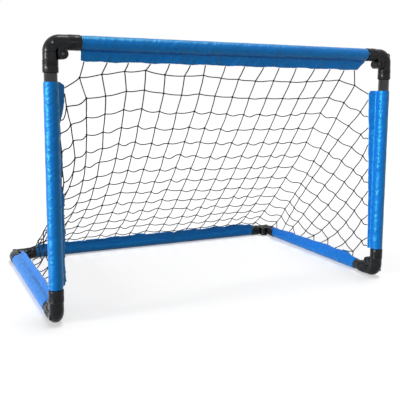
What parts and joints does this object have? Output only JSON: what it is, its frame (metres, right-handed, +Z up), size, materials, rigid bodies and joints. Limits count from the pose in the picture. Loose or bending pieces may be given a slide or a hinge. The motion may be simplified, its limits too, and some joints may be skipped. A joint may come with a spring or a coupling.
{
  "type": "folding soccer goal",
  "caption": "Folding backyard soccer goal: tube front frame hinged to a ground frame by moulded corner knuckles, with cloth sleeves on the tubes and a mesh net sloping to the rear.",
  "frame": {"origin": "on the ground, under the middle of the goal's overall box", "axes": "+X to the right seen from the mouth, +Y from the mouth to the rear rail, +Z up"},
  "size_m": [0.9136, 0.6216, 0.6215],
  "materials": {
    "tube_black_paint": "gloss",
    "knuckle_black_plastic": "satin",
    "bolt_steel": "satin",
    "button_grey": "satin",
    "sleeve_blue_cloth": "satin woven polyester",
    "net_black_twine": "knotted twine"
  },
  "bodies": {
    "front_frame": {"crossbar_tube": "tube_black_paint", "left_post_tube": "tube_black_paint", "right_post_tube": "tube_black_paint", "crossbar_sleeve": "sleeve_blue_cloth", "left_post_sleeve": "sleeve_blue_cloth", "right_post_sleeve": "sleeve_blue_cloth", "upper_left_bend": "knuckle_black_plastic", "upper_left_socket": "knuckle_black_plastic", "upper_left_bolt": "bolt_steel", "upper_left_nut": "bolt_steel", "upper_right_bend": "knuckle_black_plastic", "upper_right_socket": "knuckle_black_plastic", "upper_right_bolt": "bolt_steel", "upper_right_nut": "bolt_steel", "lower_left_bend": "knuckle_black_plastic", "lower_left_bolt": "bolt_steel", "lower_left_nut": "bolt_steel", "lower_right_bend": "knuckle_black_plastic", "lower_right_bolt": "bolt_steel", "lower_right_nut": "bolt_steel", "back_net": "net_black_twine", "left_side_net": "net_black_twine", "right_side_net": "net_black_twine"},
    "base_frame": {"left_rail_tube": "tube_black_paint", "right_rail_tube": "tube_black_paint", "rear_rail_tube": "tube_black_paint", "left_rail_sleeve": "sleeve_blue_cloth", "right_rail_sleeve": "sleeve_blue_cloth", "rear_rail_sleeve": "sleeve_blue_cloth", "lower_left_socket": "knuckle_black_plastic", "lower_right_socket": "knuckle_black_plastic", "rear_left_bend": "knuckle_black_plastic", "rear_left_socket": "knuckle_black_plastic", "rear_left_bolt": "bolt_steel", "rear_left_nut": "bolt_steel", "rear_right_bend": "knuckle_black_plastic", "rear_right_socket": "knuckle_black_plastic", "rear_right_bolt": "bolt_steel", "rear_right_nut": "bolt_steel"},
    "upper_left_lock": {"upper_left_button": "button_grey"},
    "upper_right_lock": {"upper_right_button": "button_grey"},
    "lower_left_lock": {"lower_left_button": "button_grey"},
    "lower_right_lock": {"lower_right_button": "button_grey"},
    "rear_left_lock": {"rear_left_button": "button_grey"},
    "rear_right_lock": {"rear_right_button": "button_grey"}
  },
  "joints": [
    {"name": "base_fold", "type": "hinge", "parent": "front_frame", "child": "base_frame", "pos_m": [0, -0.27, 0.04075], "axis": [1, 0, 0], "range_deg": [0, 90], "deforming": ["back_net", "left_side_net", "right_side_net"]},
    {"name": "upper_left_lock_press", "type": "slide", "parent": "front_frame", "child": "upper_left_lock", "axis": [0, 1, 0], "range_m": [0, 0.0025], "stiffness_N_per_m": 600},
    {"name": "upper_right_lock_press", "type": "slide", "parent": "front_frame", "child": "upper_right_lock", "axis": [0, 1, 0], "range_m": [0, 0.0025], "stiffness_N_per_m": 600},
    {"name": "lower_left_lock_press", "type": "slide", "parent": "front_frame", "child": "lower_left_lock", "axis": [1, 0, 0], "range_m": [0, 0.0025], "stiffness_N_per_m": 600},
    {"name": "lower_right_lock_press", "type": "slide", "parent": "front_frame", "child": "lower_right_lock", "axis": [-1, 0, 0], "range_m": [0, 0.0025], "stiffness_N_per_m": 600},
    {"name": "rear_left_lock_press", "type": "slide", "parent": "base_frame", "child": "rear_left_lock", "axis": [0, 0, -1], "range_m": [0, 0.0025], "stiffness_N_per_m": 600},
    {"name": "rear_right_lock_press", "type": "slide", "parent": "base_frame", "child": "rear_right_lock", "axis": [0, 0, -1], "range_m": [0, 0.0025], "stiffness_N_per_m": 600}
  ]
}
